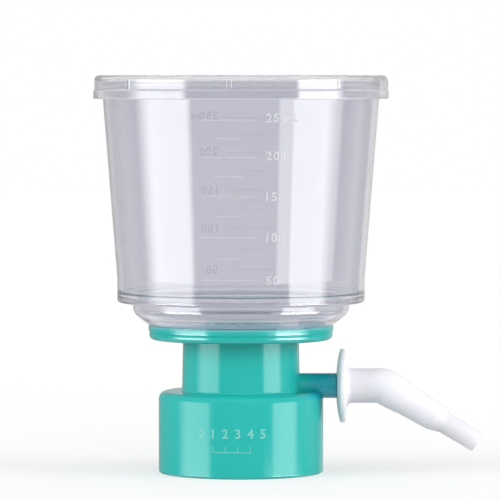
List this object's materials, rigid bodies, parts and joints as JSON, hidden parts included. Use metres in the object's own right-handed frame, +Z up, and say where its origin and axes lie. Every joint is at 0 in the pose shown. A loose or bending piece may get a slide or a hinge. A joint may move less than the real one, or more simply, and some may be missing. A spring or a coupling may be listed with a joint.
{
  "type": "vacuum filtration unit",
  "caption": "Bottle-top vacuum filter: a lidded clear cup over a round membrane, on a teal screw collar with a drip tube, a side arm and a turning angled hose connector.",
  "frame": {"origin": "on the plane of the collar's foot, below the centre of the whole unit's box, 14.078 mm along +X from the collar's axis", "axes": "+Z up along the collar's axis, +X along the side arm towards the hose connector, +Y across"},
  "size_m": [0.1156, 0.0874, 0.1179],
  "materials": {
    "teal_plastic": "smooth moulded polystyrene, glossy",
    "clear_cup": "clear polystyrene with a white printed scale",
    "clear_lid": "clear polystyrene",
    "white_membrane": "matt filter membrane",
    "white_plate": "satin polypropylene",
    "gasket": "soft translucent silicone",
    "milky_nozzle": "milky polyethylene, softly glossy",
    "fibre": "packed fibre"
  },
  "bodies": {
    "filter_body": {"base": "teal_plastic", "bottle_gasket": "gasket", "support_plate": "white_plate", "membrane": "white_membrane", "cup": "clear_cup"},
    "lid": {"lid": "clear_lid"},
    "connector": {"hose_connector": "milky_nozzle", "vent_plug": "fibre"}
  },
  "joints": [
    {"name": "lid_lift", "type": "slide", "parent": "filter_body", "child": "lid", "axis": [0, 0, 1], "range_m": [0, 0.03]},
    {"name": "connector_swivel", "type": "hinge", "parent": "filter_body", "child": "connector", "pos_m": [0.01992, 0, 0.02575], "axis": [1, 0, 0], "continuous": true}
  ]
}
